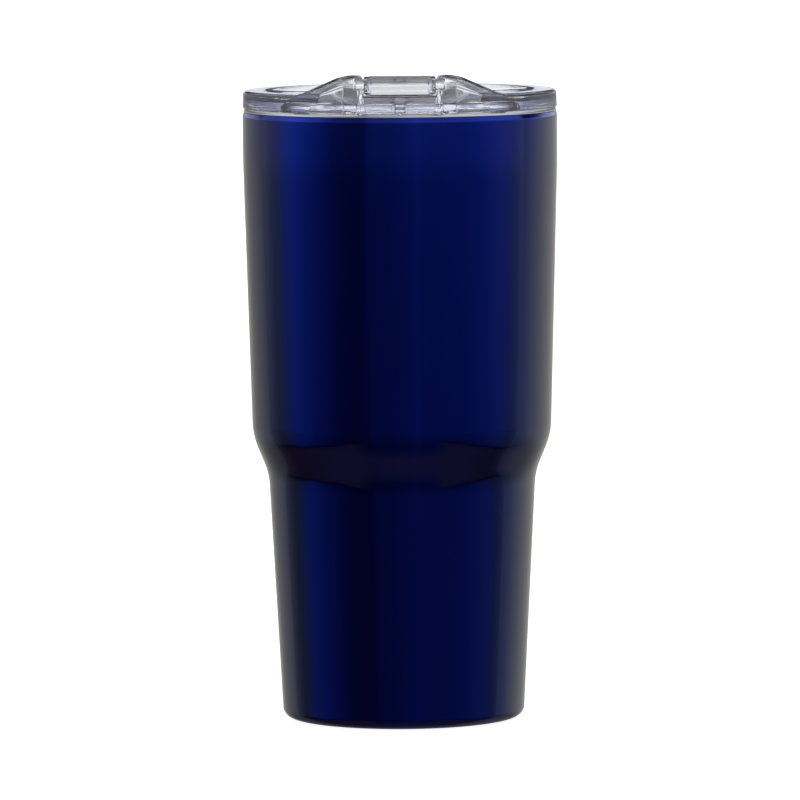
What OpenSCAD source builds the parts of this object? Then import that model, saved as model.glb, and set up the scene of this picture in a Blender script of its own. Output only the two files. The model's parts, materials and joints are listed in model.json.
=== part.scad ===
/* [Cup] */
// Outside radius of the upper half of the cup
cup_r = 44; // [43:0.5:46]
// Outside radius of the wall just above the bottom corner
base_r = 33.95; // [33:0.05:35]
// Height of the cup's lip
cup_h = 171.2; // [168:0.1:176]
// Height of the corner at the foot of the step
step_low_z = 68.9; // [64:0.1:72]
// Radius at the foot of the step
step_low_r = 37.43; // [37:0.01:38]
// Height of the corner at the head of the step
step_high_z = 79.6; // [77:0.1:84]
// Radius at the head of the step
step_high_r = 41.85; // [41.2:0.05:42.4]
// Radius of the bends at both ends of the step
step_bend = 20; // [8:1:22]
// Radius of the bottom corner
foot_bend = 3; // [2:0.5:4]

/* [Walls] */
// Thickness of the painted outer shell
shell_t = 0.8; // [0.5:0.1:1]
// Thickness of the inner liner
liner_t = 0.7; // [0.5:0.1:0.9]
// Distance from the outside of the shell to the inside of the liner
wall_span = 3.9; // [3.5:0.1:4.2]
// Height of the drinking space's floor
floor_z = 9.7; // [8.5:0.1:12]

/* [Lid] */
// Height of the lid's rim above the lip
rim_h = 5; // [4.5:0.1:6]
// Height of the hinge hump above the lid's deck
hump_h = 5.5; // [5.3:0.1:6]
// Wall thickness of the clear moulding
lid_t = 2.1; // [1.8:0.1:2.4]
// Outside radius of the skirt that goes into the cup
skirt_r = 39.3; // [38.9:0.1:39.5]
// Depth of the skirt below the lip
skirt_depth = 9.2; // [8:0.2:12]
// Depth of the dish in the lid's top
dish_depth = 2.8; // [2:0.1:3]

/* [Hinge] */
// Radius of the tab's barrel
barrel_r = 2.3; // [2.1:0.1:2.4]
// Radius of the round bosses that turn in the lid
boss_r = 1.5; // [1.2:0.1:1.6]
// Running clearance around a boss
boss_clearance = 0.06; // [0.03:0.01:0.1]
// Width of the notch that holds the tab
notch_w = 20.6; // [20.4:0.1:21]

/* [Tab] */
// Width of the tab
tab_w = 19.8; // [19:0.1:20]
// Thickness of the tab
tab_t = 1.6; // [1.4:0.1:1.8]

/* [Sip opening] */
// Length of the sip opening
sip_l = 17.2; // [14:0.2:18]
// Width of the sip opening
sip_w = 6.4; // [5.6:0.2:6.8]
// Distance of the sip opening from the lid's centre
sip_y = 29.6; // [28:0.1:30]

/* [Hidden] */
$fn = 96;

// Faces that are cut through are overshot by this much
over = 1;
// One step along an arc, in degrees
arc_step = 4;
// Larger than the whole lid
far = 60;

// Cup
lip_t = 0.8;
lip_r = cup_r - 0.25;
shell_top = cup_h - lip_t;
taper_end_z = 157;
taper_bend = 300;
lip_bend = 2;
lip_bend_z = shell_top - 1.3;
foot_ring_r = 28.6;
foot_fold_h = 1.6;
floor_bend = 6;
mouth_bend = 1;
weld_seat_r = foot_ring_r + shell_t;
port_r = 1.2;
bead_h = 0.4;
bead_r = port_r + 1.8;
cover_z = 0.5;
cover_t = 0.6;
cover_r = foot_ring_r - 0.1;
press_r = 19;
press_h = 0.2;
foil_t = 0.15;
foil_gap = 0.1;
foil_low_z = 18;
foil_top_z = taper_end_z + 5;

// Getter pill and its clip, beside the evacuation hole
getter_x = 12;
getter_r = 5;
getter_h = 1.6;
clip_t = 0.5;

// Lid heights and radii
rim_gap = 0.15;
rim_z = cup_h + rim_gap;
deck_z = rim_z + rim_h;
hump_z = deck_z + hump_h;
lid_r = cup_r - 0.05;
dish_z = deck_z - dish_depth;
dish_rim_r = 38;
dish_floor_r = 35;
skirt_z = cup_h - skirt_depth;
skirt_inner_r = skirt_r - lid_t;
groove_low_z = skirt_z + 2.3;
groove_high_z = groove_low_z + 4.2;
groove_r = skirt_r - 1;
skirt_lead = 1;

// Gasket fins
gasket_gap = 0.2;
fin_r = cup_r - wall_span - 0.2;
fin_t = 0.4;
fin_rise = 0.7;
fin_foot_h = 1.4;
fin_pitch = 2.1;

// Hump: the rear face stands on a chord, the end slopes fan out towards it
hump_back_y = -33;
hump_foot_x = 28;
hump_slope = 25;
hump_splay = 20;
groove_top_x = 30.7;
groove_foot_x = 32.7;
cheek_top = 13.3;
cheek_foot = 15;
panel_rib_w = 2.7;
slot_inner_x = 9.7;
slot_outer_x = 11.4;
slot_tip_x = 10.5;
slot_h = 4.3;
slot_lift = 0.6;
slot_back_y = -39.5;

// Hinge and tab
hinge_y = -41;
hinge_z = hump_z - barrel_r;
barrel_half = 8.6;
boss_end = 12.2;
socket_end = boss_end + 0.2;
tab_z = deck_z + 0.4;
tab_front_y = hinge_y - 0.5;
tab_rib_h = 0.8;
tab_rib_end_y = 14;
root_front_y = hinge_y + barrel_r + 0.3;
root_top_y = hinge_y + barrel_r + 2;
root_end_y = -26;
root_drop = 0.3;
stud_w = 3;
stud_h = 1.3;
stud_l = sip_l - 4;

// Sip opening, its raised lip and its plug
sip_lip_t = 1.1;
sip_lip_h = 0.65;
plug_gap = 0.1;
plug_z = dish_z + sip_lip_h + plug_gap;
vent_r = 1.5;

// Shallow dip in the far rim, under the tab's end, for a fingertip
finger_dip = 1.2;
finger_dip_r = 40;
finger_dip_y = 34;

function unit(v) = v / norm(v);

function turned(v, angle) = [
    v[0] * cos(angle) - v[1] * sin(angle),
    v[0] * sin(angle) + v[1] * cos(angle)
];

// The arc of radius r that replaces corner b between points a and c
function corner_arc(a, b, c, r) =
    let (
        u = unit(a - b),
        v = unit(c - b),
        half = acos(u * v) / 2,
        centre = b + unit(u + v) * r / sin(half),
        start = b + u * r / tan(half) - centre,
        end = b + v * r / tan(half) - centre,
        side = sign(start[0] * end[1] - start[1] * end[0]),
        sweep = 180 - 2 * half,
        steps = ceil(sweep / arc_step)
    )
    [for (i = [0:steps]) centre + turned(start, side * sweep * i / steps)];

function flat(p) = [p[0], p[1]];

// A closed outline of [x, y] corners; a third number rounds that corner
function rounded(corners) =
    let (n = len(corners))
    [for (i = [0:n - 1])
        each (corners[i][2] == undef
            ? [flat(corners[i])]
            : corner_arc(flat(corners[(i + n - 1) % n]), flat(corners[i]),
                flat(corners[(i + 1) % n]), corners[i][2]))];

// The cup's side from the step to the top of the taper, moved in by inset
function cup_side(inset) = [
    [step_low_r - inset, step_low_z, step_bend],
    [step_high_r - inset, step_high_z, step_bend],
    [cup_r - inset, taper_end_z, taper_bend]
];

// The same corners from top to bottom
function cup_side_down(inset) =
    let (side = cup_side(inset)) [for (i = [len(side) - 1:-1:0]) side[i]];

// Radius of the lower taper at a height below the step
function lower_r(z) = base_r + (step_low_r - base_r) * (z - foot_bend) / (step_low_z - foot_bend);

module revolve(corners) {
    rotate_extrude() polygon(rounded(corners));
}

// The same shape on the right, or mirrored to the left
module on_side(side) {
    mirror([side < 0 ? 1 : 0, 0, 0]) children();
}

module slot_shape(length, width) {
    centres = (length - width) / 2;
    square([2 * centres, width], center = true);
    for (side = [-1, 1]) translate([side * centres, 0]) circle(d = width);
}

// Painted steel shell, open at the foot, with the weld seat folded up inside it
module outer_shell() {
    color("midnightblue") revolve(concat(
        [[foot_ring_r, foot_fold_h], [foot_ring_r, 0, shell_t / 2], [lower_r(0), 0, foot_bend]],
        cup_side(0),
        [[cup_r, lip_bend_z, lip_bend], [lip_r, shell_top], [lip_r - shell_t, shell_top],
            [cup_r - shell_t, lip_bend_z, lip_bend]],
        cup_side_down(shell_t),
        [[lower_r(0) - shell_t, shell_t, foot_bend - shell_t], [weld_seat_r, shell_t],
            [weld_seat_r, foot_fold_h]]
    ));
}

// Steel drinking vessel with a flat lip that closes the gap to the shell
module inner_liner() {
    outer = wall_span - liner_t;
    color("silver") revolve(concat(
        [[0, floor_z - liner_t], [lower_r(floor_z) - outer, floor_z - liner_t, floor_bend]],
        cup_side(outer),
        [[cup_r - outer, shell_top], [lip_r, shell_top, 0.2], [lip_r, cup_h, 0.5],
            [cup_r - wall_span, cup_h, mouth_bend]],
        cup_side_down(wall_span),
        [[lower_r(floor_z) - wall_span, floor_z, floor_bend], [0, floor_z]]
    ));
}

// Disc welded into the foot; its centre hole is where the air is drawn out
module shell_base() {
    color("gainsboro") translate([0, 0, foot_fold_h]) difference() {
        cylinder(r = weld_seat_r, h = shell_t);
        translate([0, 0, -over]) cylinder(r = port_r, h = shell_t + 2 * over);
    }
}

// Solder bead that closes the evacuation hole
module vacuum_seal() {
    color("dimgray") {
        translate([0, 0, foot_fold_h]) cylinder(r = port_r, h = shell_t);
        translate([0, 0, foot_fold_h - bead_h]) cylinder(r1 = bead_r - bead_h, r2 = bead_r, h = bead_h);
    }
}

// Thin steel disc that hides the seal, with a shallow pressed ring
module base_cover() {
    color("silver") translate([0, 0, cover_z]) revolve([
        [0, press_h], [press_r - press_h, press_h], [press_r + press_h, 0], [cover_r, 0],
        [cover_r, cover_t], [0, cover_t]
    ]);
}

// Pill that soaks up stray gas in the vacuum space
module getter() {
    color("slategray") translate([getter_x, 0, foot_fold_h + shell_t + clip_t])
        cylinder(r = getter_r, h = getter_h);
}

// Cup-shaped clip that holds the pill on the base disc
module getter_clip() {
    clip_h = 2 * clip_t + getter_h;
    color("lightgray") translate([getter_x, 0, foot_fold_h + shell_t]) rotate_extrude() polygon([
        [0, 0], [getter_r + clip_t, 0], [getter_r + clip_t, clip_h], [getter_r - clip_t, clip_h],
        [getter_r - clip_t, clip_h - clip_t], [getter_r, clip_h - clip_t], [getter_r, clip_t],
        [0, clip_t]
    ]);
}

// Foil wrapped loosely round the liner inside the vacuum space
module copper_foil() {
    inner = wall_span - liner_t - foil_gap;
    color("peru") revolve(concat(
        [[lower_r(foil_low_z) - inner, foil_low_z],
            [lower_r(foil_low_z) - inner + foil_t, foil_low_z]],
        cup_side(inner - foil_t),
        [[cup_r - inner + foil_t, foil_top_z], [cup_r - inner, foil_top_z]],
        cup_side_down(inner)
    ));
}

// Everything above a plane that falls away from the hump's foot, on one side
module above_slope(side, inset) {
    foot_y = -sqrt(lid_r * lid_r - hump_foot_x * hump_foot_x);
    translate([side * hump_foot_x, foot_y, deck_z])
        rotate([0, 0, -side * hump_splay])
            rotate([0, side * hump_slope, 0])
                translate([-far, -far, -inset]) cube([2 * far, 2 * far, far]);
}

// The hump as a solid block, with every face moved in by inset
module hump_block(inset) {
    difference() {
        translate([0, 0, rim_z]) cylinder(r = lid_r - inset, h = hump_z - rim_z - inset);
        translate([-far, hump_back_y - inset, 0]) cube([2 * far, 2 * far, 4 * far]);
        for (side = [-1, 1]) above_slope(side, inset);
    }
}

// The part of that space that rises into both wings of the hump
module wing_pockets() {
    intersection() {
        hump_block(lid_t);
        for (side = [-1, 1]) on_side(side) rotate([90, 0, 0]) linear_extrude(far)
            polygon([[cheek_foot, 0], [cheek_foot, rim_z], [cheek_top, hump_z], [far, hump_z],
                [far, 0]]);
    }
}

// Space between rim and skirt under the hump, left solid behind the cheeks and the panel's rib
module rim_groove() {
    difference() {
        union() {
            intersection() {
                translate([0, 0, rim_z - over])
                    cylinder(r = lid_r - lid_t, h = rim_h - lid_t + over);
                rotate([90, 0, 0]) linear_extrude(far) polygon([
                    [-groove_foot_x, rim_z - over], [-groove_top_x, deck_z],
                    [groove_top_x, deck_z], [groove_foot_x, rim_z - over]]);
            }
            wing_pockets();
        }
        cylinder(r = skirt_r, h = 4 * far);
        for (side = [-1, 1]) on_side(side)
            translate([slot_outer_x, -far, 0]) cube([cheek_foot - slot_outer_x, far, 4 * far]);
        translate([-panel_rib_w / 2, -far, 0]) cube([panel_rib_w, far, 4 * far]);
    }
}

// Relief slot beside the front panel, so a cheek can spring aside for the tab's boss
module relief_slot() {
    translate([0, slot_back_y, rim_z + slot_lift]) rotate([90, 0, 0]) linear_extrude(far)
        polygon(rounded([[slot_inner_x, 0, 0.4], [slot_outer_x, 0, 0.4],
            [slot_tip_x + 0.2, slot_h, 0.15], [slot_tip_x - 0.2, slot_h, 0.15]]));
}

// Lid without its hump: rim, deck, dish and the skirt with its gasket groove
module lid_plate() {
    revolve([
        [0, dish_z - lid_t], [dish_floor_r - 1, dish_z - lid_t, 1.5],
        [skirt_inner_r, deck_z - lid_t - 1, 1], [skirt_inner_r, skirt_z, 0.5],
        [skirt_r - skirt_lead / 2, skirt_z, 0.3], [skirt_r, skirt_z + skirt_lead, 0.5],
        [skirt_r, groove_low_z], [groove_r, groove_low_z], [groove_r, groove_high_z],
        [skirt_r, groove_high_z], [skirt_r, rim_z], [lid_r, rim_z, 0.3], [lid_r, deck_z, 1.2],
        [dish_rim_r, deck_z, 1], [dish_floor_r, dish_z, 1.5], [0, dish_z]
    ]);
}

// One clear moulding: plate, hollow hump with its notch, sip opening and vent
module lid_body() {
    color([0.85, 0.88, 0.95, 0.6]) difference() {
        union() {
            lid_plate();
            hump_block(0);
            translate([0, sip_y, dish_z - over]) linear_extrude(sip_lip_h + over)
                slot_shape(sip_l + 2 * sip_lip_t, sip_w + 2 * sip_lip_t);
        }
        translate([0, 0, rim_z - far]) cylinder(r = skirt_inner_r, h = far);
        rim_groove();
        translate([-notch_w / 2, -far, deck_z]) cube([notch_w, far, far]);
        translate([-socket_end, hinge_y, hinge_z]) rotate([0, 90, 0])
            cylinder(r = boss_r + boss_clearance, h = 2 * socket_end);
        for (side = [-1, 1]) on_side(side) relief_slot();
        translate([0, sip_y, 0]) linear_extrude(4 * far) slot_shape(sip_l, sip_w);
        cylinder(r = vent_r, h = 4 * far);
        translate([0, finger_dip_y, deck_z + finger_dip_r - finger_dip]) rotate([-90, 0, 0])
            cylinder(r = finger_dip_r, h = far, $fn = 180);
    }
}

// Silicone ring in the skirt's groove, with two fins that wipe the liner
module lid_gasket() {
    low_z = groove_low_z + gasket_gap;
    high_z = groove_high_z - gasket_gap;
    band_r = skirt_r - gasket_gap / 2;
    fin = [[band_r, 0], [fin_r, fin_rise], [fin_r, fin_rise + fin_t], [band_r, fin_foot_h]];
    color("whitesmoke") revolve(concat(
        [[groove_r, low_z]],
        [for (i = [0:1], p = fin) [p[0], low_z + i * fin_pitch + p[1]]],
        [[band_r, high_z], [groove_r, high_z]]
    ));
}

// Wedge that joins the barrel to the arm, from a given front
module tab_root(width, front_y) {
    translate([width / 2, 0, 0]) rotate([90, 0, -90]) linear_extrude(width) polygon([
        [-front_y, tab_z], [-front_y, hinge_z + barrel_r - root_drop],
        [-root_top_y, hinge_z + barrel_r - root_drop], [-root_end_y, tab_z + tab_t],
        [-root_end_y, tab_z]
    ]);
}

// Space below the root that leaves it a wall as thick as the arm
module root_hollow() {
    width = tab_w - 2 * tab_t;
    translate([width / 2, 0, 0]) rotate([90, 0, -90]) linear_extrude(width) polygon([
        [-root_top_y, tab_z - over], [-root_top_y, hinge_z + barrel_r - root_drop - tab_t],
        [-root_end_y, tab_z], [-root_end_y, tab_z - over]
    ]);
}

// Barrel with a boss at each end, long arm and the stud that carries the plug
module tab_solid() {
    translate([0, hinge_y, hinge_z]) rotate([0, 90, 0]) {
        cylinder(r = barrel_r, h = 2 * barrel_half, center = true);
        cylinder(r = boss_r, h = 2 * boss_end, center = true);
    }
    translate([0, 0, tab_z]) linear_extrude(tab_t) {
        translate([-tab_w / 2, tab_front_y]) square([tab_w, sip_y - tab_front_y]);
        translate([0, sip_y]) circle(d = tab_w);
    }
    tab_root(tab_w, root_front_y);
    tab_root(2 * barrel_half, hinge_y);
    translate([-panel_rib_w / 2, root_end_y, tab_z + tab_t - over])
        cube([panel_rib_w, tab_rib_end_y - root_end_y, tab_rib_h + over]);
    translate([0, sip_y, tab_z - stud_h]) linear_extrude(stud_h + over / 2)
        slot_shape(stud_l, stud_w);
}

// Clear tab with the space below its root taken out
module flip_tab() {
    color([0.8, 0.85, 0.95, 0.6]) difference() {
        tab_solid();
        root_hollow();
    }
}

// Silicone cap on the tab's stud that closes the sip opening's raised lip
module sip_plug() {
    color("whitesmoke") translate([0, sip_y, 0]) difference() {
        translate([0, 0, plug_z]) linear_extrude(tab_z - plug_z)
            slot_shape(sip_l + 2 * sip_lip_t, sip_w + 2 * sip_lip_t);
        translate([0, 0, tab_z - stud_h]) linear_extrude(stud_h + over)
            slot_shape(stud_l, stud_w);
    }
}

outer_shell();
inner_liner();
shell_base();
vacuum_seal();
base_cover();
getter();
getter_clip();
copper_foil();
lid_body();
lid_gasket();
flip_tab();
sip_plug();
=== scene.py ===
"""Insulated steel tumbler with a clear push-on lid and a hinged flip tab."""
import json
import math

import bpy
import numpy as np
from mathutils import Matrix, Vector


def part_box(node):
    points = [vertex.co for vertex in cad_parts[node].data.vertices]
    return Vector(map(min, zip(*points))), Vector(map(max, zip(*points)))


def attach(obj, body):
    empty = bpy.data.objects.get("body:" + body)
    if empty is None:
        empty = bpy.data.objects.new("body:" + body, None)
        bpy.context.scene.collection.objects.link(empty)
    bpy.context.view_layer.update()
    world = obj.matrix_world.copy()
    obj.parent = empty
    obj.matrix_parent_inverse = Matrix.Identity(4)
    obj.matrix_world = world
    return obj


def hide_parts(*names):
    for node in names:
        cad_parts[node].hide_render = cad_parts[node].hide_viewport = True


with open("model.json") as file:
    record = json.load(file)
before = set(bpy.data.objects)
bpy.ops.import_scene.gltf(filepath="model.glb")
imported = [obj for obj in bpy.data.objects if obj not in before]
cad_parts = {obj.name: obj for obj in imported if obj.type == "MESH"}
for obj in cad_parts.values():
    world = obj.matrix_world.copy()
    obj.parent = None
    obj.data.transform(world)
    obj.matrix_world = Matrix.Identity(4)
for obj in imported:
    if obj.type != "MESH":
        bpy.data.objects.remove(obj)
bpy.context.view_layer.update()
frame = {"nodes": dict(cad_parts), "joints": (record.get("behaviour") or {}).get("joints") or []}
scene = bpy.context.scene

MM = 0.001  # the shapes below are worked out in millimetres


def node_box(node):
    """Lowest and highest corner of a CAD node, in millimetres."""
    low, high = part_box(node)
    return np.array(low) / MM, np.array(high) / MM


def joint_place(name):
    """The point on a joint's axis, in millimetres."""
    joint = next(j for j in frame["joints"] if j["name"] == name)
    return np.array(joint["pos_m"]) / MM


# ---------------------------------------------------------------- sizes from the frame
shell_high = node_box("outer_shell")[1]
liner_low, liner_high = node_box("inner_liner")
base_low, base_high = node_box("shell_base")
lid_low, lid_high = node_box("lid_body")
gasket_low, gasket_high = node_box("lid_gasket")
tab_low, tab_high = node_box("flip_tab")
plug_low, plug_high = node_box("sip_plug")
hinge = joint_place("tab_flip")

cup_r = shell_high[0]
cup_h = liner_high[2]
shell_top = shell_high[2]
lip_r = liner_high[0]
shell_t = base_high[2] - base_low[2]
foot_fold_h = base_low[2]
weld_seat_r = base_high[0]
foot_ring_r = weld_seat_r - shell_t

lid_r = lid_high[0]
rim_gap = 0.15
rim_z = cup_h + rim_gap
deck_z = rim_z + 5.0
hump_z = lid_high[2]
skirt_z = lid_low[2]


# ---------------------------------------------------------------- outlines
def rounded(corners, step=4.0):
    """Closed outline of (r, z) corners; a third number rounds that corner, step is in degrees."""
    points, n = [], len(corners)
    for i, corner in enumerate(corners):
        b = np.array(corner[:2], float)
        if len(corner) < 3:
            points.append(b)
            continue
        u = np.array(corners[i - 1][:2], float) - b
        v = np.array(corners[(i + 1) % n][:2], float) - b
        u, v = u / np.linalg.norm(u), v / np.linalg.norm(v)
        half = math.acos(np.clip(u @ v, -1, 1)) / 2
        centre = b + (u + v) / np.linalg.norm(u + v) * corner[2] / math.sin(half)
        start = b + u * corner[2] / math.tan(half) - centre
        end = b + v * corner[2] / math.tan(half) - centre
        side = np.sign(start[0] * end[1] - start[1] * end[0])
        sweep = math.pi - 2 * half
        steps = max(1, math.ceil(math.degrees(sweep) / step))
        for k in range(steps + 1):
            a = side * sweep * k / steps
            turn = np.array([[math.cos(a), -math.sin(a)], [math.sin(a), math.cos(a)]])
            points.append(centre + turn @ start)
    return np.array(points)


# ---------------------------------------------------------------- meshes
def add_piece(name, mesh, body, material, stands_for):
    """Puts a finished mesh in the scene and on its body, in place of CAD nodes."""
    piece = bpy.data.objects.new(name, mesh)
    scene.collection.objects.link(piece)
    mesh.materials.append(material)
    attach(piece, body)
    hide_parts(*stands_for)


def lathe(name, corners, body, material, stands_for, step):
    """Revolves a closed outline about the z axis into a closed mesh; step is in degrees."""
    turns, max_len, sharp_angle, on_axis = 256, 6.0, 35, 1e-6
    outline = rounded(corners, step)
    points = []
    for a, b in zip(outline, np.roll(outline, -1, axis=0)):
        parts = max(1, math.ceil(np.linalg.norm(b - a) / max_len))
        if a[0] < on_axis and b[0] < on_axis:
            parts = 1
        points += [a + (b - a) * k / parts for k in range(parts)]
    angle = np.arange(turns) * 2 * math.pi / turns
    verts, rows = [], []
    for r, z in points:
        if r < on_axis:
            rows.append([len(verts)] * turns)
            verts.append((0, 0, z))
        else:
            rows.append(list(range(len(verts), len(verts) + turns)))
            verts += [(r * math.cos(a), r * math.sin(a), z) for a in angle]
    faces = []
    for lower, upper in zip(rows, rows[1:] + rows[:1]):
        for i in range(turns):
            j = (i + 1) % turns
            ring = [lower[i], lower[j], upper[j], upper[i]]
            ring = [v for k, v in enumerate(ring) if v != ring[k - 1]]
            if len(ring) > 2:
                faces.append(ring)
    mesh = bpy.data.meshes.new(name)
    mesh.from_pydata([tuple(v) for v in np.asarray(verts) * MM], [], faces)
    mesh.validate()
    mesh.update()
    for poly in mesh.polygons:
        poly.use_smooth = True
    mesh.set_sharp_from_angle(angle=math.radians(sharp_angle))
    add_piece(name, mesh, body, material, stands_for)


def grid_mesh(name, verts, quads, body, material, stands_for):
    """A large smooth quad mesh, filled from arrays."""
    mesh = bpy.data.meshes.new(name)
    mesh.vertices.add(len(verts))
    mesh.vertices.foreach_set("co", (verts * MM).astype(np.float32).ravel())
    mesh.loops.add(quads.size)
    mesh.loops.foreach_set("vertex_index", quads.astype(np.int32).ravel())
    mesh.polygons.add(len(quads))
    mesh.polygons.foreach_set("loop_start", np.arange(0, quads.size, 4, dtype=np.int32))
    mesh.polygons.foreach_set("use_smooth", np.ones(len(quads), bool))
    mesh.update(calc_edges=True)
    mesh.validate()
    add_piece(name, mesh, body, material, stands_for)


def dress(nodes_and_materials):
    """Gives CAD nodes that stay in view their materials."""
    for node, material in nodes_and_materials:
        mesh = frame["nodes"][node].data
        mesh.materials.clear()
        mesh.materials.append(material)


# ---------------------------------------------------------------- solids as distance fields
def outline_field(corners):
    """Signed distance to a closed (r, z) outline, tabled once and read back between the points."""
    cell, margin, tiny = 0.1, 3.0, 1e-12
    outline = rounded(corners, 6)
    low = np.array([0.0, outline[:, 1].min() - margin])
    high = outline.max(axis=0) + margin
    r = np.arange(low[0], high[0], cell)
    z = np.arange(low[1], high[1], cell)
    gr, gz = np.meshgrid(r, z, indexing="ij")
    best = np.full(gr.shape, 1e9)
    inside = np.zeros(gr.shape, bool)
    for a, b in zip(outline, np.roll(outline, -1, axis=0)):
        d = b - a
        length = d @ d
        if length < tiny:
            continue
        if a[0] > 1e-6 or b[0] > 1e-6:
            t = np.clip(((gr - a[0]) * d[0] + (gz - a[1]) * d[1]) / length, 0, 1)
            best = np.minimum(best, np.hypot(gr - a[0] - t * d[0], gz - a[1] - t * d[1]))
        if abs(d[1]) > tiny:
            crosses = (a[1] > gz) != (b[1] > gz)
            inside ^= crosses & (gr < a[0] + (gz - a[1]) * d[0] / d[1])
    table = np.where(inside, -best, best)

    def field(radius, height):
        u = np.clip((radius - low[0]) / cell, 0, table.shape[0] - 1.001)
        v = np.clip((height - low[1]) / cell, 0, table.shape[1] - 1.001)
        i, j = u.astype(int), v.astype(int)
        fu, fv = u - i, v - j
        return ((table[i, j] * (1 - fu) + table[i + 1, j] * fu) * (1 - fv)
                + (table[i, j + 1] * (1 - fu) + table[i + 1, j + 1] * fu) * fv)

    return field


def join(a, b, blend=0.0):
    """Union of two fields, with a fillet in the inner corner."""
    if blend <= 0:
        return np.minimum(a, b)
    h = np.maximum(blend - np.abs(a - b), 0) / blend
    return np.minimum(a, b) - h * h * blend / 4


def both(a, b, blend=0.0):
    """Intersection of two fields, with a rounded edge."""
    return -join(-a, -b, blend)


def cut(a, b, blend=0.0):
    """a without b, with a rounded edge."""
    return both(a, -b, blend)


def between(value, low, high):
    """Field of the layer from low to high."""
    return np.abs(value - (low + high) / 2) - (high - low) / 2


def slot_field(x, y, length, width):
    """Field of a slot along x with round ends."""
    return np.hypot(np.maximum(np.abs(x) - (length - width) / 2, 0), y) - width / 2


def surface(field, low, high, cell):
    """Closed quad mesh of the field's zero surface, one vertex in each cell that it crosses."""
    nudge, rounds, least_slope, longest_move = 0.02, 4, 0.25, 0.4
    axes = [np.arange(low[i] - 1.5 * cell, high[i] + 2.5 * cell, cell) for i in range(3)]
    values = np.empty([len(a) for a in axes], np.float32)
    gy, gz = np.meshgrid(axes[1], axes[2], indexing="ij")
    for i, x in enumerate(axes[0]):
        values[i] = field(np.full(gy.shape, x), gy, gz)
    full = values < 0
    shape = [n - 1 for n in values.shape]
    corners = [(a, b, c) for a in (0, 1) for b in (0, 1) for c in (0, 1)]

    def shifted(array, corner):
        return array[tuple(slice(corner[i], corner[i] + shape[i]) for i in range(3))]

    count = sum(shifted(full, c).astype(np.int8) for c in corners)
    at = np.argwhere((count > 0) & (count < 8))
    index = np.full(shape, -1, np.int64)
    index[tuple(at.T)] = np.arange(len(at))
    total, hits = np.zeros((len(at), 3)), np.zeros(len(at))
    for a in corners:
        for axis in range(3):
            if a[axis]:
                continue
            b = tuple(v + (k == axis) for k, v in enumerate(a))
            va = values[tuple((at + a).T)]
            vb = values[tuple((at + b).T)]
            crossed = (va < 0) != (vb < 0)
            t = np.where(crossed, va / np.where(crossed, va - vb, 1), 0)
            point = np.array(a)[None] + t[:, None] * (np.arange(3) == axis)
            total += point * crossed[:, None]
            hits += crossed
    verts = np.array([a[0] for a in axes]) + (at + total / hits[:, None]) * cell
    quads = []
    for axis in range(3):
        u, v = (axis + 1) % 3, (axis + 2) % 3
        ahead = np.roll(full, -1, axis)
        edge = full != ahead
        edge[tuple(-1 if k == axis else slice(None) for k in range(3))] = False
        spots = np.argwhere(edge)
        ring = []
        for du, dv in ((-1, -1), (0, -1), (0, 0), (-1, 0)):
            cell_at = spots.copy()
            cell_at[:, u] += du
            cell_at[:, v] += dv
            ring.append(index[tuple(cell_at.T)])
        ring = np.stack(ring, axis=1)
        flip = ~full[tuple(spots.T)]
        ring[flip] = ring[flip][:, ::-1]
        quads.append(ring)
    quads = np.concatenate(quads)
    for _ in range(rounds):
        here = field(*verts.T)
        slope = np.stack([
            (field(*(verts + nudge * np.eye(3)[k]).T) - field(*(verts - nudge * np.eye(3)[k]).T))
            / (2 * nudge) for k in range(3)], axis=1)
        steep = np.maximum((slope ** 2).sum(axis=1), least_slope)
        move = slope * (here / steep)[:, None]
        size = np.linalg.norm(move, axis=1)
        verts -= move * np.minimum(1, longest_move * cell / np.maximum(size, 1e-9))[:, None]
    return verts, quads


# ---------------------------------------------------------------- lid
lid_t = 2.1
skirt_r = 39.3
skirt_inner_r = skirt_r - lid_t
gasket_gap = 0.2
groove_low_z = gasket_low[2] - gasket_gap
groove_high_z = gasket_high[2] + gasket_gap
groove_r = skirt_r - 1.0
dish_z = deck_z - 2.8
dish_rim_r = 38.0
dish_floor_r = 35.0
hump_back_y = -33.0
hump_foot_x = 28.0
hump_slope = math.radians(25)
hump_splay = math.radians(20)
crown = 0.035  # fall of the hump's top towards the back, per mm
draft = 0.03  # lean of the rim's side, per mm
notch_half = 10.3
web_x = 11.4
cheek_top, cheek_foot = 13.3, 15.0
groove_top_x, groove_foot_x = 30.7, 32.7
groove_taper = 8.0
panel_rib_half = 1.35
relief_low_z, relief_high_z = rim_z + 0.6, rim_z + 4.9
relief_x, relief_drift = 10.55, 0.05
relief_half, relief_narrowing = 0.85, 0.65
relief_back_y = -39.5
vent_r = 1.5
dip_r, dip_depth, dip_y = 40, 1.2, 34
sip_l, sip_w = 17.2, 6.4
sip_y = (plug_low[1] + plug_high[1]) / 2
sip_lip_t, sip_lip_h = 1.1, 0.65
boss_r, boss_gap, boss_end_gap = 1.5, 0.06, 0.2
barrel_r = tab_high[2] - hinge[2]
barrel_half = 8.6
boss_end = tab_high[0]

plate_field = outline_field([
    [0, dish_z - lid_t], [dish_floor_r - 1, dish_z - lid_t, 1.5],
    [skirt_inner_r, deck_z - lid_t - 1, 1], [skirt_inner_r, skirt_z, 0.5],
    [skirt_r - 0.6, skirt_z, 0.3], [skirt_r, skirt_z + 1, 0.5],
    [skirt_r, groove_low_z], [groove_r, groove_low_z], [groove_r, groove_high_z],
    [skirt_r, groove_high_z], [skirt_r, rim_z], [lid_r, rim_z, 0.3], [lid_r, deck_z, 1.2],
    [dish_rim_r, deck_z, 1], [dish_floor_r, dish_z, 1.5], [0, dish_z]])


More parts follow.
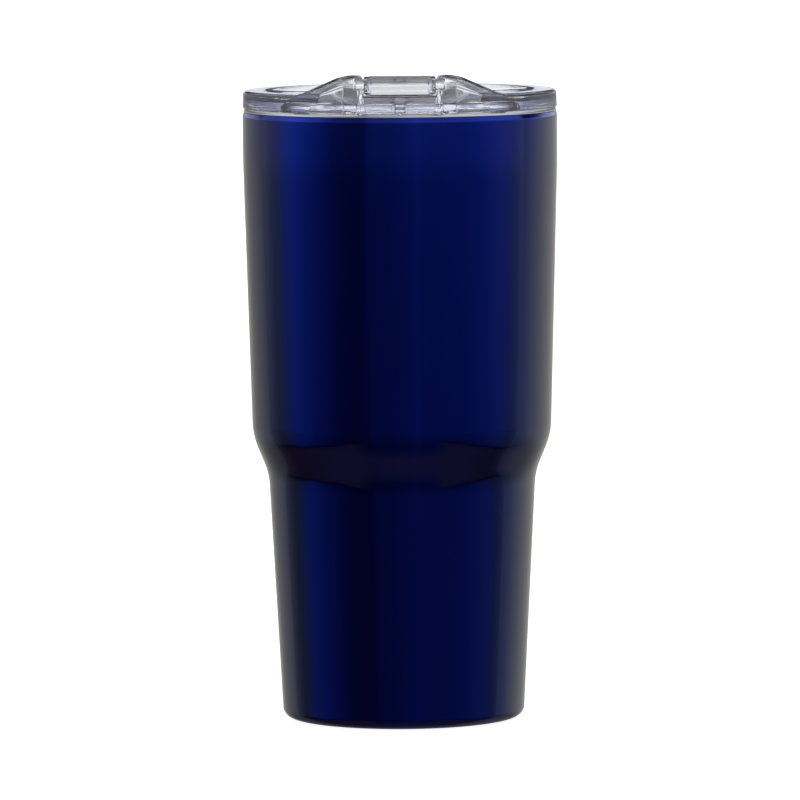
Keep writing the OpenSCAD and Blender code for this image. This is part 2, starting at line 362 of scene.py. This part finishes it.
def hump_field(x, y, z, r, inset=0.0):
    """The hump as a solid block, with every face moved in by inset."""
    foot_y = -math.sqrt(lid_r ** 2 - hump_foot_x ** 2)
    solid = z - hump_z + inset + crown * (hump_back_y - y)
    for side in (-1, 1):
        fall = (side * math.sin(hump_slope) * math.cos(hump_splay) * (x - side * hump_foot_x)
                - math.sin(hump_slope) * math.sin(hump_splay) * (y - foot_y)
                + math.cos(hump_slope) * (z - deck_z)) + inset
        solid = both(solid, fall, 1.2)
    solid = both(solid, y - hump_back_y + inset, 0.8)
    solid = both(solid, r - lid_r + inset, 0.6)
    return both(solid, rim_z - z)


def lid_field(x, y, z):
    r = np.hypot(x, y)
    ax = np.abs(x)
    solid = plate_field(r, z)
    solid = both(join(solid, hump_field(x, y, z, r), 1.0), r - lid_r + draft * (z - rim_z))
    lip = both(slot_field(x, y - sip_y, sip_l + 2 * sip_lip_t, sip_w + 2 * sip_lip_t),
               between(z, dish_z - 1, dish_z + sip_lip_h), 0.5)
    solid = join(solid, lip, 0.5)
    # space between rim and skirt under the hump, which rises into both wings
    wing = both(hump_field(x, y, z, r, lid_t),
                cheek_foot + (cheek_top - cheek_foot) * (z - rim_z) / (hump_z - rim_z) - ax, 0.6)
    groove_end = groove_foot_x - (groove_foot_x - groove_top_x) * (z - rim_z) / (deck_z - rim_z)
    thicker = np.maximum(ax - groove_end + groove_taper, 0) / groove_taper
    groove = both(r - lid_r + lid_t + (lid_r - lid_t - skirt_r) * thicker, z - deck_z + lid_t, 0.8)
    groove = both(groove, y)
    groove = join(groove, wing, 0.4)
    groove = both(groove, skirt_r - r, 0.4)
    webs = join(between(ax, web_x, cheek_foot), ax - panel_rib_half)
    groove = cut(groove, both(webs, y), 0.4)
    solid = cut(solid, groove, 0.3)
    # notch for the tab, with rounded cheek edges
    notch = both(both(ax - notch_half, deck_z - z, 0.4), y)
    solid = cut(solid, notch, 0.8)
    # relief slots beside the front panel
    up = np.clip((z - relief_low_z) / (relief_high_z - relief_low_z), 0, 1)
    relief = both(np.abs(ax - relief_x + relief_drift * up) - relief_half + relief_narrowing * up,
                  between(z, relief_low_z, relief_high_z), 0.5)
    solid = cut(solid, both(relief, y - relief_back_y), 0.3)
    socket = both(np.hypot(y - hinge[1], z - hinge[2]) - boss_r - boss_gap,
                  ax - boss_end - boss_end_gap)
    solid = cut(solid, socket, 0.2)
    solid = cut(solid, slot_field(x, y - sip_y, sip_l, sip_w), 0.5)
    solid = cut(solid, r - vent_r, 0.3)
    dip = both(np.hypot(x, z - deck_z - dip_r + dip_depth) - dip_r, dip_y - y)
    return cut(solid, dip, 0.8)


tab_z = deck_z + 0.4
tab_t = 1.6
tab_half = 9.9
tab_rib_h, tab_rib_end_y = 0.8, 14
stud_l, stud_w, stud_h = sip_l - 4, 3, 1.3
overlap = 0.5
tab_front_y = hinge[1] - 0.5
root_front_y = hinge[1] + barrel_r + 0.3
root_top_y = hinge[1] + barrel_r + 2
root_end_y = -26.0
root_top_z = tab_high[2] - 0.3


def tab_field(x, y, z):
    ax = np.abs(x)
    from_axis = np.hypot(y - hinge[1], z - hinge[2])
    barrel = both(from_axis - barrel_r, ax - barrel_half, 0.5)
    boss = both(from_axis - boss_r, ax - boss_end, 0.3)
    arm = both(np.hypot(x, np.maximum(y - sip_y, 0)) - tab_half, tab_front_y - y, 0.5)
    arm = both(arm, between(z, tab_z, tab_z + tab_t), 0.6)
    fall = (root_top_z - tab_z - tab_t) / (root_end_y - root_top_y)
    slope = z - root_top_z + fall * np.maximum(y - root_top_y, 0)
    front_y = np.where(ax < barrel_half, hinge[1], root_front_y)
    root = both(both(slope, ax - tab_half, 0.6), tab_z - z)
    root = both(both(root, front_y - y, 0.4), y - root_end_y)
    hollow = both(both(slope + tab_t, ax - tab_half + tab_t, 0.6), root_front_y + tab_t - y, 0.4)
    hollow = both(hollow, y - root_end_y)
    rib = both(both(ax - panel_rib_half, between(y, root_end_y - 2, tab_rib_end_y), 0.8),
               between(z, tab_z + overlap, tab_z + tab_t + tab_rib_h), 0.6)
    stud = both(slot_field(x, y - sip_y, stud_l, stud_w),
                between(z, tab_z - stud_h, tab_z + overlap), 0.2)
    solid = join(join(join(barrel, boss, 0.3), arm, 0.8), root, 0.4)
    solid = cut(solid, hollow, 0.4)
    return join(join(solid, rib, 0.6), stud, 0.2)


# ---------------------------------------------------------------- materials
def new_material(name):
    """A material with its node lists and its main shader."""
    material = bpy.data.materials.new(name)
    material.use_nodes = True
    nodes, links = material.node_tree.nodes, material.node_tree.links
    return material, nodes, links, nodes["Principled BSDF"]


def noise(nodes, links, scale, detail, stretch=(1, 1, 1)):
    """Noise over the object's own coordinates, in metres, stretched per axis."""
    where = nodes.new("ShaderNodeTexCoord")
    size = nodes.new("ShaderNodeMapping")
    size.inputs["Scale"].default_value = stretch
    texture = nodes.new("ShaderNodeTexNoise")
    texture.inputs["Scale"].default_value = scale
    texture.inputs["Detail"].default_value = detail
    links.new(where.outputs["Object"], size.inputs["Vector"])
    links.new(size.outputs["Vector"], texture.inputs["Vector"])
    return texture


def between_values(nodes, links, source, low, high):
    """The middle of a noise output stretched to the range low to high."""
    spread = nodes.new("ShaderNodeMapRange")
    spread.inputs["From Min"].default_value = 0.3
    spread.inputs["From Max"].default_value = 0.7
    spread.inputs["To Min"].default_value = low
    spread.inputs["To Max"].default_value = high
    links.new(source, spread.inputs["Value"])
    return spread.outputs["Result"]


def add_bump(nodes, links, shader, height, strength, distance):
    """Fine relief on a shader from a height output."""
    bump = nodes.new("ShaderNodeBump")
    bump.inputs["Strength"].default_value = strength
    bump.inputs["Distance"].default_value = distance
    links.new(height, bump.inputs["Height"])
    links.new(bump.outputs["Normal"], shader.inputs["Normal"])


def mix_colour(nodes, links, factor, a, b):
    """A colour between a and b."""
    mix = nodes.new("ShaderNodeMix")
    mix.data_type = "RGBA"
    mix.inputs["A"].default_value = (*a, 1)
    mix.inputs["B"].default_value = (*b, 1)
    links.new(factor, mix.inputs["Factor"])
    return mix.outputs["Result"]


def lacquer_material():
    """Translucent blue lacquer over spun steel: tinted metal under a clear coat."""
    material, nodes, links, shader = new_material("blue_lacquer")
    flake = noise(nodes, links, 9000, 1)
    cloud = noise(nodes, links, 60, 2, (1, 1, 0.3))
    tint = mix_colour(nodes, links, cloud.outputs["Fac"], (0.0, 0.016, 0.25), (0.0, 0.022, 0.29))
    links.new(tint, shader.inputs["Base Color"])
    shader.inputs["Metallic"].default_value = 1
    links.new(between_values(nodes, links, flake.outputs["Fac"], 0.15, 0.19),
              shader.inputs["Roughness"])
    shader.inputs["Coat Weight"].default_value = 1
    shader.inputs["Coat Roughness"].default_value = 0.015
    shader.inputs["Coat IOR"].default_value = 1.3
    add_bump(nodes, links, shader, flake.outputs["Fac"], 0.04, 0.00005)
    return material


def steel_material(name, colour, roughness):
    """Steel with fine brush lines that run round the cup."""
    material, nodes, links, shader = new_material(name)
    lines = noise(nodes, links, 900, 2, (0.02, 0.02, 6))
    darker = tuple(0.93 * c for c in colour)
    links.new(mix_colour(nodes, links, lines.outputs["Fac"], darker, colour),
              shader.inputs["Base Color"])
    shader.inputs["Metallic"].default_value = 1
    links.new(between_values(nodes, links, lines.outputs["Fac"], *roughness),
              shader.inputs["Roughness"])
    add_bump(nodes, links, shader, lines.outputs["Fac"], 0.08, 0.00005)
    return material


def clear_material(name, tint):
    """Clear moulded plastic: violet cast in thick parts, faint flow lines in the surface."""
    material, nodes, links, shader = new_material(name)
    waves = noise(nodes, links, 60, 3, (1, 1, 18))
    lighter = tuple(min(1, c + 0.01) for c in tint)
    links.new(mix_colour(nodes, links, waves.outputs["Fac"], tint, lighter),
              shader.inputs["Base Color"])
    shader.inputs["Transmission Weight"].default_value = 0.965
    shader.inputs["IOR"].default_value = 1.53
    shader.inputs["Roughness"].default_value = 0.05
    add_bump(nodes, links, shader, waves.outputs["Fac"], 0.12, 0.0002)
    absorb = nodes.new("ShaderNodeVolumeAbsorption")
    absorb.inputs["Color"].default_value = (0.55, 0.58, 0.8, 1)
    absorb.inputs["Density"].default_value = 6
    links.new(absorb.outputs["Volume"], nodes["Material Output"].inputs["Volume"])
    return material


def silicone_material():
    """Soft pale silicone for the gasket and the plug."""
    material, nodes, links, shader = new_material("silicone")
    grain = noise(nodes, links, 3000, 2)
    links.new(mix_colour(nodes, links, grain.outputs["Fac"], (0.72, 0.74, 0.76), (0.78, 0.8, 0.82)),
              shader.inputs["Base Color"])
    shader.inputs["Subsurface Weight"].default_value = 0.3
    shader.inputs["Subsurface Scale"].default_value = 0.002
    shader.inputs["Roughness"].default_value = 0.45
    add_bump(nodes, links, shader, grain.outputs["Fac"], 0.05, 0.0001)
    return material


def dull_metal(name, colour, roughness, grain_scale):
    """Grainy metal that is hidden inside or under the cup."""
    material, nodes, links, shader = new_material(name)
    grain = noise(nodes, links, grain_scale, 3)
    darker = tuple(0.8 * c for c in colour)
    links.new(mix_colour(nodes, links, grain.outputs["Fac"], darker, colour),
              shader.inputs["Base Color"])
    shader.inputs["Metallic"].default_value = 1
    shader.inputs["Roughness"].default_value = roughness
    add_bump(nodes, links, shader, grain.outputs["Fac"], 0.3, 0.0001)
    return material


lacquer = lacquer_material()
steel = steel_material("brushed_steel", (0.8, 0.8, 0.81), (0.25, 0.4))
clear_lid = clear_material("clear_lid_plastic", (0.93, 0.94, 0.97))
clear_tab = clear_material("clear_tab_plastic", (0.94, 0.95, 0.97))
silicone = silicone_material()
solder = dull_metal("solder", (0.42, 0.42, 0.43), 0.5, 2500)
copper = dull_metal("copper_foil", (0.8, 0.42, 0.27), 0.25, 400)

# ---------------------------------------------------------------- cup
liner_t = 0.7
wall_span = 3.9
floor_z = liner_low[2] + liner_t
foot_bend = 3.0
base_r = 33.95
step_low = (37.43, 68.9)
step_high = (41.85, 79.6)
step_bend = 20.0
taper_end_z = 157.0
taper_bend = 300.0
lip_bend_z = shell_top - 1.3


def cup_side(inset):
    """Corners of the cup's side from the foot of the step to the top of the taper."""
    return [[step_low[0] - inset, step_low[1], step_bend],
            [step_high[0] - inset, step_high[1], step_bend],
            [cup_r - inset, taper_end_z, taper_bend]]


def lower_r(z):
    """Radius of the cup's lower part at a height."""
    return base_r + (step_low[0] - base_r) * (z - foot_bend) / (step_low[1] - foot_bend)


lathe(
    "outer_shell_skin",
    [[foot_ring_r, foot_fold_h], [foot_ring_r, 0, shell_t / 2], [lower_r(0), 0, foot_bend]]
    + cup_side(0)
    + [[cup_r, lip_bend_z, 2], [lip_r, shell_top, 0.25], [lip_r - shell_t, shell_top],
       [cup_r - shell_t, lip_bend_z]]
    + cup_side(shell_t)[::-1]
    + [[lower_r(0) - shell_t, shell_t, foot_bend - shell_t], [weld_seat_r, shell_t],
       [weld_seat_r, foot_fold_h]],
    "cup", lacquer, ["outer_shell"], step=0.6)

outer = wall_span - liner_t  # how far the liner's outer face is inside the shell's
liner_bend = 6.0
lathe(
    "inner_liner_vessel",
    [[0, floor_z - liner_t], [lower_r(floor_z) - outer, floor_z - liner_t, liner_bend]]
    + cup_side(outer)
    + [[cup_r - outer, shell_top], [lip_r, shell_top, 0.05], [lip_r, cup_h, 0.7],
       [cup_r - wall_span, cup_h, 1]]
    + cup_side(wall_span)[::-1]
    + [[lower_r(floor_z) - wall_span, floor_z, liner_bend], [0, floor_z]],
    "cup", steel, ["inner_liner"], step=1.0)

dress((("shell_base", steel), ("base_cover", steel), ("getter_clip", steel),
       ("vacuum_seal", solder), ("getter", solder), ("copper_foil", copper)))

# ---------------------------------------------------------------- lid and tab
cell = 0.4
margin = 0.2
verts, quads = surface(lid_field, lid_low - margin, lid_high + margin, cell)
grid_mesh("lid_moulding", verts, quads, "lid", clear_lid, ["lid_body"])
verts, quads = surface(tab_field, tab_low - margin, tab_high + margin, cell * 0.75)
grid_mesh("flip_tab_moulding", verts, quads, "tab", clear_tab, ["flip_tab"])
dress((("lid_gasket", silicone), ("sip_plug", silicone)))

# ---------------------------------------------------------------- camera
cam_distance, cam_height, aim_height, cam_x = 2.148, 0.271, 0.0891, -0.0005
lens, roll = 345.6, math.radians(-0.39)
camera = bpy.data.objects.new("camera", bpy.data.cameras.new("camera"))
scene.collection.objects.link(camera)
scene.camera = camera
camera.data.sensor_width = 36
camera.data.lens = lens
camera.data.clip_start, camera.data.clip_end = 0.1, 50
camera.location = (cam_x, -cam_distance, cam_height)
look = Vector((cam_x, 0, aim_height)) - camera.location
facing = look.to_track_quat("-Z", "Y").to_matrix().to_4x4()
camera.matrix_world = (Matrix.Translation(camera.location) @ facing
                       @ Matrix.Rotation(roll, 4, "Z"))

# ---------------------------------------------------------------- floor
floor_mesh = bpy.data.meshes.new("floor")
reach, below = 12.0, -0.0002
corners = ((-reach, -reach), (reach, -reach), (reach, reach), (-reach, reach))
floor_mesh.from_pydata([(x, y, below) for x, y in corners], [], [(0, 1, 2, 3)])
floor = bpy.data.objects.new("floor", floor_mesh)
scene.collection.objects.link(floor)
floor_material, nodes, links, shader = new_material("pale_floor")
shader.inputs["Base Color"].default_value = (0.8, 0.8, 0.8, 1)
shader.inputs["Roughness"].default_value = 0.9
shader.inputs["Specular IOR Level"].default_value = 0
shader.inputs["Emission Color"].default_value = (1, 1, 1, 1)
shader.inputs["Emission Strength"].default_value = 0.9
floor_mesh.materials.append(floor_material)
floor.visible_glossy = False
floor.visible_transmission = False

# ---------------------------------------------------------------- studio light
world = bpy.data.worlds.new("studio")
scene.world = world
world.use_nodes = True
nodes, links = world.node_tree.nodes, world.node_tree.links
nodes.clear()


def math_node(operation, *values):
    """A math node over outputs and plain numbers."""
    node = nodes.new("ShaderNodeMath")
    node.operation = operation
    for socket, value in zip(node.inputs, values):
        if hasattr(value, "is_linked"):
            links.new(value, socket)
        else:
            socket.default_value = value
    return node.outputs[0]


def colour_curve(value, limit, stops):
    """A curve of (angle, colour) stops, from -limit to limit degrees."""
    spread = nodes.new("ShaderNodeMapRange")
    spread.inputs["From Min"].default_value = -limit
    spread.inputs["From Max"].default_value = limit
    links.new(value, spread.inputs["Value"])
    colours = nodes.new("ShaderNodeValToRGB")
    elements = colours.color_ramp.elements
    while len(elements) < len(stops):
        elements.new(0.5)
    for element, (place, colour) in zip(elements, stops):
        element.position = (place + limit) / (2 * limit)
        element.color = (*colour, 1)
    links.new(spread.outputs["Result"], colours.inputs["Fac"])
    return colours.outputs["Color"]


def curve(value, limit, stops):
    """A curve of (angle, brightness) stops, from -limit to limit degrees."""
    return colour_curve(value, limit, [(place, (bright,) * 3) for place, bright in stops])


def background(colour, strength=1.0):
    """A background shader; colour and strength are values or outputs."""
    shader = nodes.new("ShaderNodeBackground")
    for socket, value in (("Color", colour), ("Strength", strength)):
        if hasattr(value, "is_linked"):
            links.new(value, shader.inputs[socket])
        else:
            shader.inputs[socket].default_value = value
    return shader.outputs["Background"]


def mix_shaders(factor, first, second):
    """The first shader at 0 and the second at 1."""
    mix = nodes.new("ShaderNodeMixShader")
    for socket, value in zip(mix.inputs, (factor, first, second)):
        links.new(value, socket)
    return mix.outputs["Shader"]


where = nodes.new("ShaderNodeTexCoord")
axes = nodes.new("ShaderNodeSeparateXYZ")
links.new(where.outputs["Generated"], axes.inputs["Vector"])
# azimuth is 0 towards the camera and 90 to the right; elevation is above the horizon
azimuth = math_node("DEGREES", math_node("ARCTAN2", axes.outputs["X"],
                                         math_node("MULTIPLY", axes.outputs["Y"], -1)))
elevation = math_node("DEGREES", math_node("ARCSINE", axes.outputs["Z"]))
AROUND, UPRIGHT = 180, 90  # limits of the two angles

# the table's edge is sharp to the sides and lost in the light's own fade straight ahead
drop = curve(azimuth, AROUND, [
    (-180, 0), (-124, 3), (-109, 4), (-90, 8), (-60, 9), (-33, 3), (0, 0), (33, 3), (60, 9),
    (90, 10.5), (109, 6), (124, 3), (180, 0)])
above_table = math_node("ADD", elevation, drop)
sharp = curve(azimuth, AROUND, [(-180, 1), (-40, 1), (-26, 0), (26, 0), (40, 1), (180, 1)])
hidden = curve(above_table, UPRIGHT, [(-90, 1), (-18.5, 1), (-15.5, 0), (90, 0)])
edge = math_node("SUBTRACT", 1, math_node("MULTIPLY", sharp, hidden))

# light from the front and the sides
side_around = curve(azimuth, AROUND, [
    (-180, 0), (-124, 0), (-120, 0.17), (-105, 0.2), (-97, 0.25), (-90, 0.31), (-82, 0.3),
    (-72, 0.22), (-60, 0.145), (-50, 0.08), (-37, 0.064), (-26, 0.06), (-24, 0.13), (-8, 0.128),
    (0, 0.155), (9, 0.168), (12, 0.23), (16, 0.175), (50, 0.19), (78, 0.275), (92, 0.235),
    (99, 0.235), (104, 0), (180, 0)])
side_heights = curve(elevation, UPRIGHT, [
    (-90, 0), (-58, 0), (-44, 0.3), (-36, 0.42), (-25, 0.56), (-14, 0.72), (-10, 0.73),
    (-8, 0.76), (-6, 1.05), (-4, 1.8), (0, 2.2), (10, 4.2), (50, 3.8), (90, 2.5)])
side = math_node("MULTIPLY", side_around, math_node("MULTIPLY", side_heights, edge))

# light from behind
back_around = curve(azimuth, AROUND, [
    (-180, 0.42), (-150, 0.28), (-135, 0.33), (-124, 0.36), (-122, 0.12), (-110, 0), (90, 0),
    (99, 0.08), (101, 0.36), (117, 0.52), (135, 0.47), (150, 0.38), (180, 0.42)])
back_heights = curve(elevation, UPRIGHT, [
    (-90, 0.5), (-40, 0.5), (-26, 0.4), (-18, 0.7), (-12, 1.0), (0, 1.0), (2, 2.3), (6, 2.3),
    (8, 0.1), (26, 0.1), (34, 2.0), (90, 2.5)])
light = math_node("ADD", side, math_node("MULTIPLY", back_around, back_heights))

# cool in front and warm to the sides, but even above the horizon and inside the plastic
warmth = colour_curve(azimuth, AROUND, [
    (-180, (1, 0.98, 0.92)), (-130, (1, 0.95, 0.57)), (-105, (1, 0.95, 0.5)), (-93, (0.5, 0.65, 1)),
    (-80, (0.3, 0.5, 1)), (60, (0.3, 0.5, 1)), (82, (0.8, 0.75, 1)), (97, (1, 0.95, 0.55)),
    (125, (1, 0.95, 0.48)), (150, (1, 0.96, 0.72)), (180, (1, 0.98, 0.92))])
path = nodes.new("ShaderNodeLightPath")
inside = math_node("GREATER_THAN", path.outputs["Transmission Depth"], 0.5)
high_up = curve(elevation, UPRIGHT, [(-90, 0), (-2.6, 0), (-1.6, 1), (90, 1)])
tinted = nodes.new("ShaderNodeMix")
tinted.data_type = "RGBA"
links.new(math_node("MAXIMUM", high_up, inside), tinted.inputs["Factor"])
links.new(warmth, tinted.inputs["A"])
tinted.inputs["B"].default_value = (0.84, 0.87, 1, 1)

# brown of the table in front
near_table = curve(above_table, UPRIGHT, [(-90, 1), (-24, 1), (-20, 0.85), (-18.5, 0), (90, 0)])
far_table = curve(elevation, UPRIGHT, [(-90, 1), (-52, 1), (-34, 0.1), (-30, 0), (90, 0)])
table_heights = math_node("MULTIPLY_ADD", sharp,
                          math_node("SUBTRACT", near_table, far_table), far_table)
in_front = curve(azimuth, AROUND, [
    (-180, 0), (-140, 0), (-120, 0.35), (-95, 0.6), (-65, 1), (65, 1), (90, 0.6), (120, 0.5),
    (140, 0), (180, 0)])
open_air = nodes.new("ShaderNodeAddShader")
links.new(background(tinted.outputs["Result"], light), open_air.inputs[0])
links.new(background((0.22, 0.1, 0.068, 1), math_node("MULTIPLY", table_heights, in_front)),
          open_air.inputs[1])

# what is seen through clear plastic
white, navy = (1, 1, 1), (0.2, 0.21, 0.4)
through_colour = colour_curve(azimuth, AROUND, [
    (-180, white), (-152, white), (-140, navy), (-88, navy), (-76, white), (76, white),
    (88, navy), (140, navy), (152, white), (180, white)])
through_heights = curve(elevation, UPRIGHT, [
    (-90, 1.0), (-28, 1.0), (-20, 1.4), (4, 1.4), (8, 0.95), (50, 0.9), (90, 1.2)])
refracted = math_node("MAXIMUM", path.outputs["Is Transmission Ray"],
                      math_node("MULTIPLY", inside, 0.8))
around = mix_shaders(refracted, open_air.outputs["Shader"],
                     background(through_colour, through_heights))
page = background((1, 1, 1, 1))
output = nodes.new("ShaderNodeOutputWorld")
links.new(mix_shaders(path.outputs["Is Camera Ray"], around, page), output.inputs["Surface"])

scene.view_settings.view_transform = "Standard"
scene.cycles.transmission_bounces = 24
scene.cycles.max_bounces = 32

bpy.context.view_layer.update()
